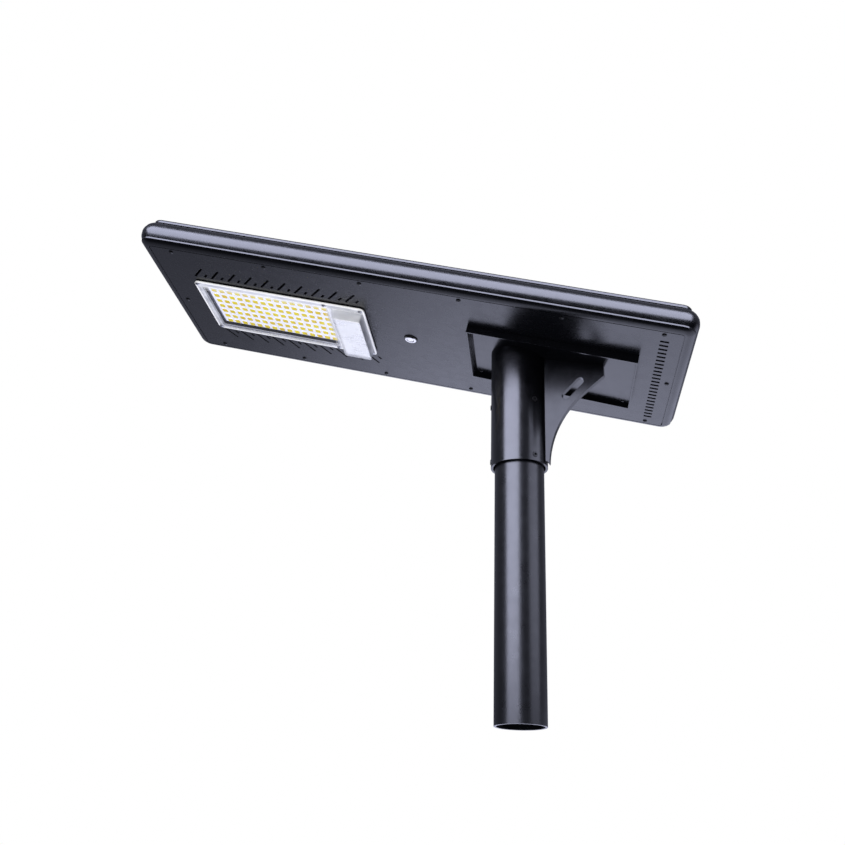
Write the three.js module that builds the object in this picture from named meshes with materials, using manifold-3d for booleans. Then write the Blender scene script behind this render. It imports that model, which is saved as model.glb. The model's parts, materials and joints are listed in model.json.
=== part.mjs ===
// An all-in-one solar street lamp: a flat solar head on a tilted tray, a sleeve with one gusset plate,
// and the top length of the pole that the sleeve turns on.
//
// Millimetres, +Z up. The origin is the bottom centre of the lamp's bounding box, at the height of
// the pole's lower end. -X is the light's end of the head, +X its back end, and the pole's axis is
// parallel to Z. Inside the head, z = 0 is the underside of the back plate and x runs along it.
import * as THREE from "three";
import { mergeVertices } from "three/addons/utils/BufferGeometryUtils.js";
import Module from "manifold-3d";

const wasm = await Module();
wasm.setup();

// ---- Driving dimensions ----

const GAP = 0.3; // clearance between pieces that rest on each other
const CORNER_STEPS = 5; // facets in a rounded corner

// Pole and sleeve
const POLE_RADIUS = 38;
const POLE_WALL = 3.5;
const POLE_BELOW_SLEEVE = 385;
const POLE_INSIDE_SLEEVE = 165;
const SLEEVE_RADIUS = 44;
const SLEEVE_WALL = 3.5;
const ROUND_STEPS = 48;

// Set screws: two rings of three, 120 degrees apart
const SET_SCREW_RADIUS = 4;
const SET_SCREW_HEIGHTS = [10, 102]; // above the sleeve's lower rim
const SET_SCREW_FIRST_ANGLE = -56; // degrees from +X
const SET_SCREW_TIP = POLE_RADIUS + 0.4;
const SET_SCREW_PROUD = 1;

// The head's place on the pole
const HEAD_TILT = 12.35; // degrees, light's end up
const HEAD_ABOVE_SLEEVE = 191.5; // underside, on the pole's axis, above the sleeve's lower rim
const HEAD_FRONT = -609.8; // outer end at the light, from the pole's axis along the underside
const HEAD_BACK = 263.3;
const HEAD_WIDTH = 366.6;

// Bull-nosed edge, in two shells that meet at a parting line
const NOSE_RADIUS = 18; // lower shell
const TOP_ARC = { radius: 21, out: -3.7, z: 20.4 }; // upper shell: its centre, out from the nose's line
const TOP_REACH = TOP_ARC.radius + TOP_ARC.out; // from the nose's line to the head's outer face
const NOSE_CORNER = 6; // plan radius of the nose's centre line
const SHELL = 2.5;
const PARTING_ANGLE = 47; // degrees from the bottom of the nose, at the lip's lower edge
const LIP_ANGLE = 6; // the upright lip between the two shells' outer faces
const PARTING_STEP = 1.4; // how far the lip leans in
const LEDGE_WIDTH = 22;
const TOP_FLANGE_WIDTH = 24;

// Back plate
const PLATE = 2;
const PLATE_INSET = 2; // from the nose's centre line to the plate's edge
const SEAM = 1.5; // open line between the plate and the frame round it
const SCREW_ROW_Y = 155.8;
const SCREW_ROW_FIRST_X = -555.8;
const SCREW_ROW_PITCH = 155.6;
const SCREW_ROW_COUNT = 5;
const SCREW_ROW_LAST_X = 216.4;
const END_SCREWS_X = [-578.4, 236.4];
const SCREW_HOLE = 2.2;

// Cooling slots beside the light, and the vents at the back
const SLOT_COUNT = 10;
const SLOT_WIDTH = 3.6;
const VENT_COUNT = 23;
const VENT_PITCH = 12.3;
const VENT_X = 218.8;
const VENT_LENGTH = 13;
const VENT_WIDTH = 5.2;

// Panel rim and solar panel on top
const RIM_FRONT = -598;
const RIM_BACK = 249;
const RIM_HALF_WIDTH = 170;
const RIM_TOP = 47.5;
const RIM_WIDTH = 9;
const GLASS = 3;

// Light: window in the plate, clear cover, LED board
const WINDOW = { x0: -529, x1: -256, halfY: 64, corner: 4 };
const COVER = { x0: -541, x1: -249, halfY: 78.5, corner: 8 };
const COVER_FLANGE_TOP = -1.8;
const COVER_FLANGE_BOTTOM = -4.1;
const COVER_WALL = 1.8;
const LIGHT_DEPTH = 9; // how far the raised field hangs below the plate
const BULGE_DEPTH = 21;
const COVER_SCREW_Y = 72.5;
const COVER_SCREW_XS = [-536, -317, -256];
const BOARD = { x0: -524, x1: -312, halfY: 58.5, corner: 2 };
const BOARD_LOW = 0.6;
const SENSOR_FACE = 2;

// Push button
const BUTTON_X = -181;
const BEZEL_RADIUS = 10;
const BARREL_RADIUS = 8;
const CAP_RADIUS = 6;

// Mounting tray: plan corners, near side first, and its depth at each end
const TRAY_X0 = -80.5;
const TRAY_X1 = 187;
const TRAY_NEAR_Y = -79.5;
const TRAY_FAR_Y0 = 79.5;
const TRAY_FAR_Y1 = 91;
const TRAY_DEPTH0 = 11.1;
const TRAY_DEPTH1 = 13.3;
const TRAY_FLOOR0 = 1.8; // floor's lower face below the plate, front and back
const TRAY_FLOOR1 = 6;
const TRAY_WALL = 2.5;
const TRAY_FRONT_DRAFT = 6; // how far the front wall's inner face leans in, from its rim to the floor
const TRAY_BOLT_FROM_FRONT = 15.3;
const TRAY_BOLT_FROM_BACK = 13;
const TRAY_BOLT_HEAD = 3;
const TRAY_BOLT_SHANK = 2;

// Gusset
const GUSSET = 9;
const GUSSET_TURN = -13; // degrees from +X, about the pole's axis
const GUSSET_OFFSET = 9; // near face, from the pole's axis
const GUSSET_BACK = 136.5; // back edge, from the pole's axis along the plate
const GUSSET_FOOT_Z = 1.4;

// ---- Materials ----

function paint(color, roughness) {
  return new THREE.MeshStandardMaterial({ color, roughness, metalness: 0.3 });
}

const material = {
  blackPaint: () => paint(0x2b2d35, 0.35),
  platePaint: () => paint(0x34363f, 0.3),
  blackSteel: () => paint(0x0c0c0e, 0.45),
  rubber: () => new THREE.MeshStandardMaterial({ color: 0x08080a, roughness: 0.8, metalness: 0 }),
  clear: () =>
    new THREE.MeshStandardMaterial({
      color: 0xeef2f6,
      roughness: 0.08,
      metalness: 0,
      transparent: true,
      opacity: 0.3,
    }),
  glass: () => new THREE.MeshStandardMaterial({ color: 0x0b1430, roughness: 0.05, metalness: 0 }),
  cells: () => new THREE.MeshStandardMaterial({ color: 0x0a1230, roughness: 0.3, metalness: 0.2 }),
  whiteBoard: () => new THREE.MeshStandardMaterial({ color: 0xf2f2ee, roughness: 0.5, metalness: 0 }),
  whitePlastic: () => new THREE.MeshStandardMaterial({ color: 0xf0f0f2, roughness: 0.4, metalness: 0 }),
  aluminium: () => new THREE.MeshStandardMaterial({ color: 0xb8bbc0, roughness: 0.4, metalness: 0.9 }),
  nickel: () => new THREE.MeshStandardMaterial({ color: 0xe4e4e0, roughness: 0.2, metalness: 1 }),
  zinc: () => new THREE.MeshStandardMaterial({ color: 0x9a9ca0, roughness: 0.4, metalness: 0.9 }),
  cellWrap: () => new THREE.MeshStandardMaterial({ color: 0x1f4f9c, roughness: 0.5, metalness: 0 }),
  caseGrey: () => new THREE.MeshStandardMaterial({ color: 0x3a3f44, roughness: 0.6, metalness: 0 }),
};

// ---- Solids ----

/** Closed geometry from vertices and triangles, turned so that its faces point out. */
function bodyOf(vertices, triangles) {
  const corner = (i) => new THREE.Vector3(...vertices[i]);
  const volume = triangles.reduce(
    (sum, [a, b, c]) => sum + corner(a).dot(corner(b).cross(corner(c))),
    0,
  );
  const facing = volume < 0 ? triangles.map(([a, b, c]) => [a, c, b]) : triangles;
  const geometry = new THREE.BufferGeometry();
  geometry.setAttribute("position", new THREE.Float32BufferAttribute(vertices.flat(), 3));
  geometry.setIndex(facing.flat());
  return geometry;
}

/** A manifold-3d solid from a closed geometry. */
function solid(geometry) {
  const bare = geometry.clone();
  bare.deleteAttribute("normal");
  bare.deleteAttribute("uv");
  const merged = mergeVertices(bare, 1e-3);
  return new wasm.Manifold(
    new wasm.Mesh({
      numProp: 3,
      vertProperties: new Float32Array(merged.attributes.position.array),
      triVerts: new Uint32Array(merged.index.array),
    }),
  );
}

/** The geometry of a manifold-3d solid. */
function geometryOf(made) {
  const mesh = made.getMesh();
  const geometry = new THREE.BufferGeometry();
  const positions = new Float32Array(mesh.numVert * 3);
  for (let i = 0; i < mesh.numVert; i++) {
    positions.set(mesh.vertProperties.subarray(i * mesh.numProp, i * mesh.numProp + 3), i * 3);
  }
  geometry.setAttribute("position", new THREE.BufferAttribute(positions, 3));
  geometry.setIndex(new THREE.BufferAttribute(new Uint32Array(mesh.triVerts), 1));
  return geometry;
}

/** Base solid with every cutter taken away. */
function cut(base, cutters) {
  return cutters.reduce((rest, cutter) => rest.subtract(cutter), base);
}

function box(x0, x1, y0, y1, z0, z1) {
  const geometry = new THREE.BoxGeometry(x1 - x0, y1 - y0, z1 - z0);
  geometry.translate((x0 + x1) / 2, (y0 + y1) / 2, (z0 + z1) / 2);
  return solid(geometry);
}

/** Upright cylinder; six steps make a hexagon. */
function drum(radius, z0, z1, { x = 0, y = 0, steps = 12 } = {}) {
  const geometry = new THREE.CylinderGeometry(radius, radius, z1 - z0, steps);
  geometry.rotateX(Math.PI / 2);
  geometry.translate(x, y, (z0 + z1) / 2);
  return solid(geometry);
}

/** Body of revolution about Z from [radius, z] points that start and end on the axis. */
function turned(profile, { x = 0, y = 0, steps = 12 } = {}) {
  const points = profile.map(([radius, z]) => new THREE.Vector2(radius, z));
  const geometry = new THREE.LatheGeometry(points, steps);
  geometry.rotateX(Math.PI / 2);
  geometry.translate(x, y, 0);
  const made = solid(geometry);
  return made.volume() > 0 ? made : solid(flipped(geometry));
}

function flipped(geometry) {
  const turnedRound = geometry.clone();
  const index = turnedRound.index.array;
  for (let i = 0; i < index.length; i += 3) {
    const second = index[i + 1];
    index[i + 1] = index[i + 2];
    index[i + 2] = second;
  }
  return turnedRound;
}

/** Points of a rounded rectangle, counter-clockwise. */
function roundedLoop(x0, x1, halfY, corner, z) {
  const radius = Math.max(corner, 0.5);
  const centres = [
    [x1 - radius, halfY - radius],
    [x0 + radius, halfY - radius],
    [x0 + radius, radius - halfY],
    [x1 - radius, radius - halfY],
  ];
  return centres.flatMap(([cx, cy], quarter) =>
    Array.from({ length: CORNER_STEPS + 1 }, (_, step) => {
      const angle = (quarter + step / CORNER_STEPS) * (Math.PI / 2);
      return [cx + radius * Math.cos(angle), cy + radius * Math.sin(angle), z];
    }),
  );
}

/** Triangles between neighbouring loops of equal length. */
function skin(loopCount, perLoop, closed) {
  const triangles = [];
  const last = closed ? loopCount : loopCount - 1;
  for (let i = 0; i < last; i++) {
    for (let j = 0; j < perLoop; j++) {
      const a = i * perLoop + j;
      const b = i * perLoop + ((j + 1) % perLoop);
      const c = ((i + 1) % loopCount) * perLoop + ((j + 1) % perLoop);
      const d = ((i + 1) % loopCount) * perLoop + j;
      triangles.push([a, b, c], [a, c, d]);
    }
  }
  return triangles;
}

/** Closed body through rounded-rectangle sections, lowest first, with flat ends. */
function loft(sections) {
  const loops = sections.map(({ x0, x1, halfY, corner, z }) => roundedLoop(x0, x1, halfY, corner, z));
  const perLoop = loops[0].length;
  const triangles = skin(loops.length, perLoop, false);
  const top = (loops.length - 1) * perLoop;
  for (let j = 1; j < perLoop - 1; j++) {
    triangles.push([0, j + 1, j], [top, top + j, top + j + 1]);
  }
  return solid(bodyOf(loops.flat(), triangles));
}

/** Plate with a rounded-rectangle outline. */
function slab(outline, z0, z1) {
  return loft([
    { ...outline, z: z0 },
    { ...outline, z: z1 },
  ]);
}

/** Closed ring: a profile of [outward offset, z] points swept round a rounded rectangle. */
function ring(profile, { x0, x1, halfY, corner }) {
  const loops = profile.map(([out, z]) =>
    roundedLoop(x0 - out, x1 + out, halfY + out, corner + out, z),
  );
  return solid(bodyOf(loops.flat(), skin(loops.length, loops[0].length, true)));
}

/** Six-sided block from four upper plan corners, with its heights at each, and its lower corners. */
function block(corners, lows, highs, lowerCorners = corners) {
  const vertices = [
    ...lowerCorners.map(([x, y], i) => [x, y, lows[i]]),
    ...corners.map(([x, y], i) => [x, y, highs[i]]),
  ];
  const triangles = [
    [0, 2, 1],
    [0, 3, 2],
    [4, 5, 6],
    [4, 6, 7],
    ...skin(2, 4, false),
  ];
  return solid(bodyOf(vertices, triangles));
}

/** Points on an arc, in [outward offset, z], angles in degrees from the circle's bottom. */
function arc(radius, from, to, steps, { out, z } = { out: 0, z: NOSE_RADIUS }) {
  return Array.from({ length: steps + 1 }, (_, i) => {
    const angle = THREE.MathUtils.degToRad(from + ((to - from) * i) / Math.max(steps, 1));
    return [out + radius * Math.sin(angle), z - radius * Math.cos(angle)];
  });
}

function mesh(name, made, look, parent) {
  const geometry = geometryOf(made).toNonIndexed();
  geometry.computeVertexNormals();
  const piece = new THREE.Mesh(geometry, look);
  piece.name = name;
  parent.add(piece);
  return piece;
}

// ---- Groups ----

const lamp = new THREE.Group();
const noseLine = {
  x0: HEAD_FRONT + TOP_REACH,
  x1: HEAD_BACK - TOP_REACH,
  halfY: HEAD_WIDTH / 2 - TOP_REACH,
  corner: NOSE_CORNER,
};
const tilt = THREE.MathUtils.degToRad(HEAD_TILT);
// The middle of the head's extent along X, from the pole's axis.
const headMiddleX =
  ((noseLine.x0 + noseLine.x1) / 2) * Math.cos(tilt) + TOP_ARC.z * Math.sin(tilt);
lamp.position.set(-headMiddleX, 0, POLE_BELOW_SLEEVE);

const head = new THREE.Group();
head.position.z = HEAD_ABOVE_SLEEVE;
head.rotation.y = tilt;
lamp.add(head);
head.updateMatrix();

// ---- Fasteners ----

/** Low pan-head screw driven up from below; seat is the face that its head rests on. */
function panScrew(x, y, seat, length) {
  const bottom = seat - GAP;
  const profile = [
    [0, bottom - 1.7],
    [2.6, bottom - 1.4],
    [3.5, bottom - 0.5],
    [3.5, bottom],
    [1.9, bottom],
    [1.9, seat + length],
    [0, seat + length],
  ];
  return turned(profile, { x, y, steps: 10 });
}

/** Hexagon nut above a face. */
function nut(x, y, seat, width, bore, height) {
  const blank = drum(width, seat + GAP, seat + GAP + height, { x, y, steps: 6 });
  return blank.subtract(drum(bore, seat - 1, seat + height + 1, { x, y }));
}

function plateScrewPlaces() {
  const xs = Array.from(
    { length: SCREW_ROW_COUNT },
    (_, i) => SCREW_ROW_FIRST_X + i * SCREW_ROW_PITCH,
  );
  const row = [...xs, SCREW_ROW_LAST_X];
  return [
    ...row.map((x, i) => ({ name: `plate_screw_near_${i + 1}`, x, y: -SCREW_ROW_Y })),
    ...row.map((x, i) => ({ name: `plate_screw_far_${i + 1}`, x, y: SCREW_ROW_Y })),
    { name: "plate_screw_front", x: END_SCREWS_X[0], y: 0 },
    { name: "plate_screw_back", x: END_SCREWS_X[1], y: 0 },
  ];
}

function coverScrewPlaces() {
  return COVER_SCREW_XS.flatMap((x, i) => [
    { name: `cover_screw_near_${i + 1}`, x, y: -COVER_SCREW_Y },
    { name: `cover_screw_far_${i + 1}`, x, y: COVER_SCREW_Y },
  ]);
}

function trayBoltPlaces() {
  return [
    { name: "near_front", x: TRAY_X0 + TRAY_BOLT_FROM_FRONT, y: -70 },
    { name: "far_front", x: TRAY_X0 + TRAY_BOLT_FROM_FRONT, y: 70 },
    { name: "near_back", x: TRAY_X1 - TRAY_BOLT_FROM_BACK, y: -70 },
    { name: "far_back", x: TRAY_X1 - TRAY_BOLT_FROM_BACK, y: 79 },
  ];
}

// ---- Head shell ----

function addShell() {
  const seam = -PLATE_INSET + SEAM;
  const ledgeLow = PLATE + GAP;
  const ledgeHigh = ledgeLow + SHELL;
  const innerRadius = NOSE_RADIUS - SHELL;
  const lipTop = PARTING_ANGLE + LIP_ANGLE;
  const [lip] = arc(NOSE_RADIUS - PARTING_STEP, lipTop, lipTop, 0);
  const ledgeMeetsNose = THREE.MathUtils.radToDeg(
    Math.acos((NOSE_RADIUS - ledgeHigh) / innerRadius),
  );
  const bottomProfile = [
    [seam, 0],
    ...arc(NOSE_RADIUS, 0, PARTING_ANGLE, 5),
    lip,
    ...arc(innerRadius, lipTop, ledgeMeetsNose, 1),
    [-LEDGE_WIDTH, ledgeHigh],
    [-LEDGE_WIDTH, ledgeLow],
    [seam, ledgeLow],
  ];
  const holes = plateScrewPlaces().map(({ x, y }) => drum(SCREW_HOLE, 1, 8, { x, y, steps: 8 }));
  mesh("bottom_frame", cut(ring(bottomProfile, noseLine), holes), material.blackPaint(), head);

  const atLip = Math.atan2(lip[0] - TOP_ARC.out, TOP_ARC.z - lip[1]);
  const start = THREE.MathUtils.radToDeg(atLip + GAP / TOP_ARC.radius);
  const flangeTop = TOP_ARC.z + TOP_ARC.radius;
  const topProfile = [
    ...arc(TOP_ARC.radius, start, 180, 11, TOP_ARC),
    [-TOP_FLANGE_WIDTH, flangeTop],
    [-TOP_FLANGE_WIDTH, flangeTop - SHELL],
    ...arc(TOP_ARC.radius - SHELL, 180, start, 8, TOP_ARC),
  ];
  mesh("top_frame", ring(topProfile, noseLine), material.blackPaint(), head);
  return flangeTop;
}

// ---- Back plate with its openings ----

/** Slot through the plate between two points. */
function slotCutter([ax, ay], [bx, by], width) {
  const length = Math.hypot(bx - ax, by - ay);
  const geometry = new THREE.BoxGeometry(length, width, 4 * PLATE);
  geometry.rotateZ(Math.atan2(by - ay, bx - ax));
  geometry.translate((ax + bx) / 2, (ay + by) / 2, 0);
  return solid(geometry);
}

/** Long and short slanted slots in turn, on the near side and, at a slightly wider pitch, the far side. */
function coolingSlots() {
  const sides = [
    { side: -1, first: -535.4, pitch: 28.6, lean: 18.8 },
    { side: 1, first: -534.6, pitch: 29.6, lean: 15.8 },
  ];
  return sides.flatMap(({ side, first, pitch, lean }) =>
    Array.from({ length: SLOT_COUNT }, (_, i) => {
      const x = first + i * pitch;
      const shortX = x + 0.6 * pitch;
      return [
        slotCutter([x, side * 89.5], [x + lean, side * 116.5], SLOT_WIDTH),
        slotCutter([shortX, side * 91], [shortX + 0.3 * lean, side * 99.5], SLOT_WIDTH),
      ];
    }).flat(),
  );
}

function backVents() {
  return Array.from({ length: VENT_COUNT }, (_, i) => {
    const y = (i - (VENT_COUNT - 1) / 2) * VENT_PITCH;
    const [halfX, halfY] = [VENT_LENGTH / 2, VENT_WIDTH / 2];
    return box(VENT_X - halfX, VENT_X + halfX, y - halfY, y + halfY, -3, 5);
  });
}

function addBackPlate() {
  const outline = {
    x0: noseLine.x0 + PLATE_INSET,
    x1: noseLine.x1 - PLATE_INSET,
    halfY: noseLine.halfY - PLATE_INSET,
    corner: NOSE_CORNER - PLATE_INSET,
  };
  const screwHoles = [...plateScrewPlaces(), ...coverScrewPlaces()].map(({ x, y }) =>
    drum(SCREW_HOLE, -3, 5, { x, y, steps: 8 }),
  );
  const boltHoles = trayBoltPlaces().map(({ x, y }) => drum(TRAY_BOLT_SHANK + GAP, -3, 5, { x, y }));
  const openings = [
    slab(WINDOW, -3, 5),
    drum(BARREL_RADIUS + GAP, -3, 5, { x: BUTTON_X, steps: 24 }),
    ...coolingSlots(),
    ...backVents(),
    ...screwHoles,
    ...boltHoles,
  ];
  mesh("back_plate", cut(slab(outline, 0, PLATE), openings), material.platePaint(), head);
  for (const { name, x, y } of plateScrewPlaces()) {
    mesh(name, panScrew(x, y, 0, 8), material.blackSteel(), head);
  }
}

// ---- Solar panel ----

function addSolarPanel(flangeTop) {
  const edge = 3; // rounding of the rim's outer top edge
  const seat = RIM_TOP - GLASS - 2 * GAP;
  const low = flangeTop + GAP;
  const rounding = Array.from({ length: 4 }, (_, i) => {
    const angle = (i / 3) * (Math.PI / 2);
    return [edge * (Math.cos(angle) - 1), RIM_TOP - edge + edge * Math.sin(angle)];
  });
  const profile = [
    [0, low],
    ...rounding,
    [-RIM_WIDTH, RIM_TOP],
    [-RIM_WIDTH, seat],
    [-RIM_WIDTH - 5, seat],
    [-RIM_WIDTH - 5, low],
  ];
  const outline = { x0: RIM_FRONT, x1: RIM_BACK, halfY: RIM_HALF_WIDTH, corner: 14 };
  mesh("panel_rim", ring(profile, outline), material.blackPaint(), head);

  const inset = (by) => ({
    x0: outline.x0 + by,
    x1: outline.x1 - by,
    halfY: outline.halfY - by,
    corner: outline.corner - by,
  });
  const glass = slab(inset(RIM_WIDTH + GAP), seat + GAP, seat + GAP + GLASS);
  mesh("solar_glass", glass, material.glass(), head);
  const cells = slab(inset(RIM_WIDTH + 5 + GAP), seat - 1.8, seat);
  mesh("solar_cells", cells, material.cells(), head);
  return seat - 1.8;
}

// ---- Light ----

function addLightCover() {
  const bulge = { x0: -306, x1: -252.5, halfY: 65.5, corner: 3 };
  const bulgeFace = { ...bulge, x0: -299.5, x1: -252.8, z: -BULGE_DEPTH };
  const field = { x0: -531, x1: -311, halfY: 67.5, corner: 5 };
  const fieldFace = { x0: -526, x1: -315, halfY: 62.5, corner: 3, z: -LIGHT_DEPTH };
  const inward = (section, by, up) => ({
    x0: section.x0 + by,
    x1: section.x1 - by,
    halfY: section.halfY - by,
    corner: section.corner - 0.5 * by,
    z: section.z + up,
  });
  const flange = slab(COVER, COVER_FLANGE_BOTTOM, COVER_FLANGE_TOP);
  const outerField = loft([fieldFace, { ...field, z: COVER_FLANGE_BOTTOM + 1 }]);
  const outerBulge = loft([bulgeFace, { ...bulge, z: COVER_FLANGE_BOTTOM + 1 }]);
  const openTop = { ...field, z: COVER_FLANGE_TOP + 1 };
  const innerField = loft([inward(fieldFace, COVER_WALL, COVER_WALL), inward(openTop, COVER_WALL, 0)]);
  const openBulge = { ...bulge, z: COVER_FLANGE_TOP + 1 };
  const innerBulge = loft([inward(bulgeFace, COVER_WALL, COVER_WALL), inward(openBulge, COVER_WALL, 0)]);
  const holes = coverScrewPlaces().map(({ x, y }) => drum(SCREW_HOLE, -6, 0, { x, y, steps: 8 }));
  const cover = cut(flange.add(outerField).add(outerBulge), [innerField, innerBulge, ...holes]);
  mesh("light_cover", cover, material.clear(), head);

  const around = { x0: COVER.x0 + 1, x1: COVER.x1 - 1, halfY: COVER.halfY - 1, corner: 7 };
  const inside = { x0: -531, x1: -254.5, halfY: 66, corner: 4 };
  const sealHoles = coverScrewPlaces().map(({ x, y }) => drum(SCREW_HOLE, -2, 0, { x, y, steps: 8 }));
  const seal = slab(around, COVER_FLANGE_TOP + GAP, -GAP);
  mesh("cover_gasket", cut(seal, [slab(inside, -3, 1), ...sealHoles]), material.rubber(), head);
  for (const { name, x, y } of coverScrewPlaces()) {
    mesh(name, panScrew(x, y, COVER_FLANGE_BOTTOM, 12), material.zinc(), head);
  }
}

function addLightSource() {
  mesh("led_board", slab(BOARD, BOARD_LOW, PLATE), material.whiteBoard(), head);

  const base = box(-540, -302, -68, 68, PLATE + GAP, PLATE + GAP + 3);
  const finCount = 12;
  const fins = Array.from({ length: finCount }, (_, i) => {
    const y = (i - (finCount - 1) / 2) * 11.5;
    return box(-540, -302, y - 1, y + 1, PLATE + 3, 18);
  });
  const sink = fins.reduce((body, fin) => body.add(fin), base);
  mesh("heat_sink", sink, material.aluminium(), head);

  const face = { x0: -297, x1: -254.8, halfY: 61.5, corner: 2 };
  const faceLow = -BULGE_DEPTH + COVER_WALL + 2 * GAP;
  const faceTop = faceLow + SENSOR_FACE;
  mesh("sensor_face", slab(face, faceLow, faceTop), material.whitePlastic(), head);
  const housing = { x0: -291, x1: -259, halfY: 57, corner: 3 };
  mesh("sensor_housing", slab(housing, faceTop + GAP, 14), material.caseGrey(), head);
}

// ---- Push button ----

function addButton() {
  const at = { x: BUTTON_X, steps: 24 };
  const bezelTop = -1.6;
  const sealRing = drum(BEZEL_RADIUS + 1.3, bezelTop + GAP, -GAP, at);
  const sealBore = drum(BARREL_RADIUS + GAP, -3, 1, at);
  mesh("button_seal", sealRing.subtract(sealBore), material.rubber(), head);

  const flange = turned(
    [
      [0, bezelTop - 1.6],
      [BEZEL_RADIUS - 1.2, bezelTop - 1.6],
      [BEZEL_RADIUS, bezelTop - 0.6],
      [BEZEL_RADIUS, bezelTop],
      [BARREL_RADIUS, bezelTop],
      [BARREL_RADIUS, 15],
      [0, 15],
    ],
    at,
  );
  const pocket = drum(CAP_RADIUS + GAP, -5, 13, at);
  mesh("button_bezel", flange.subtract(pocket), material.nickel(), head);

  const cap = turned(
    [
      [0, -2.6],
      [CAP_RADIUS - 0.8, -2.6],
      [CAP_RADIUS, -1.9],
      [CAP_RADIUS, 9],
      [0, 9],
    ],
    at,
  );
  mesh("button_cap", cap, material.nickel(), head);
  mesh("button_nut", nut(BUTTON_X, 0, PLATE, 12.5, BARREL_RADIUS + GAP, 4), material.zinc(), head);
}

// ---- Battery, controller and cables ----

function addBattery() {
  const cellRadius = 13.1;
  const pitch = 26.4;
  const rows = 8;
  const first = -37;
  const centre = 18;
  const floor = PLATE + GAP;
  const cells = Array.from({ length: rows }, (_, i) => {
    const geometry = new THREE.CylinderGeometry(cellRadius, cellRadius, 130, 14);
    geometry.translate(first + i * pitch, 0, centre);
    return solid(geometry);
  });
  const middle = box(first, first + (rows - 1) * pitch, -65, 65, centre - 6, centre + 6);
  const pack = cells.reduce((body, cell) => body.add(cell), middle);
  mesh("battery_pack", pack, material.cellWrap(), head);

  const rails = [-1, 1].map((side) => {
    const y = side * 72.6;
    return box(-20, 130, y - 6.6, y + 6.6, floor, floor + 1.5);
  });
  const straps = [first + 1.5 * pitch, first + 5.5 * pitch].map((x) => {
    const outer = box(x - 9, x + 9, -67, 67, floor, 33);
    return outer.subtract(box(x - 10, x + 10, -65.4, 65.4, PLATE, 31.5));
  });
  const bracket = [...rails, ...straps].reduce((body, part) => body.add(part));
  mesh("battery_bracket", bracket, material.zinc(), head);
}

function addController() {
  const body = slab({ x0: -160, x1: -78, halfY: 42, corner: 4 }, PLATE + 1, 22);
  const terminals = box(-150, -130, -36, 36, 20, 27);
  mesh("charge_controller", body.add(terminals), material.caseGrey(), head);
}

/** Round cable through points. */
function cable(name, points) {
  const path = new THREE.CatmullRomCurve3(points.map((p) => new THREE.Vector3(...p)));
  const section = new THREE.Shape();
  section.absarc(0, 0, 2.2, 0, 2 * Math.PI);
  const geometry = new THREE.ExtrudeGeometry(section, {
    curveSegments: 4,
    steps: 12,
    bevelEnabled: false,
    extrudePath: path,
  });
  mesh(name, solid(geometry), material.rubber(), head);
}

function addCables(cellsLow) {
  cable("cable_light", [
    [-140, -30, 27.4],
    [-140, -30, 32],
    [-150, -33, 34.5],
    [-200, -42, 32],
    [-262, -45, 26],
    [-277, -45, 21],
    [-278, -45, 14.5],
  ]);
  cable("cable_battery", [
    [-140, 20, 27.4],
    [-140, 20, 31.5],
    [-130, 21, 34],
    [-90, 22, 32],
    [-72, 22, 22],
    [-62, 22, 18.4],
    [-50.5, 22, 18],
  ]);
  cable("cable_panel", [
    [-140, 0, 27.4],
    [-140, 0, 30],
    [-134, 0, 33],
    [-123, 0, 33],
    [-117, 0, 35],
    [-117, 0, cellsLow - 2 * GAP],
  ]);
}

// ---- Mounting tray ----

/** Depth of the tray floor's lower face at x, below the plate. */
function trayFloorDepth(x) {
  return TRAY_FLOOR0 + ((TRAY_FLOOR1 - TRAY_FLOOR0) * (x - TRAY_X0)) / (TRAY_X1 - TRAY_X0);
}

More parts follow.
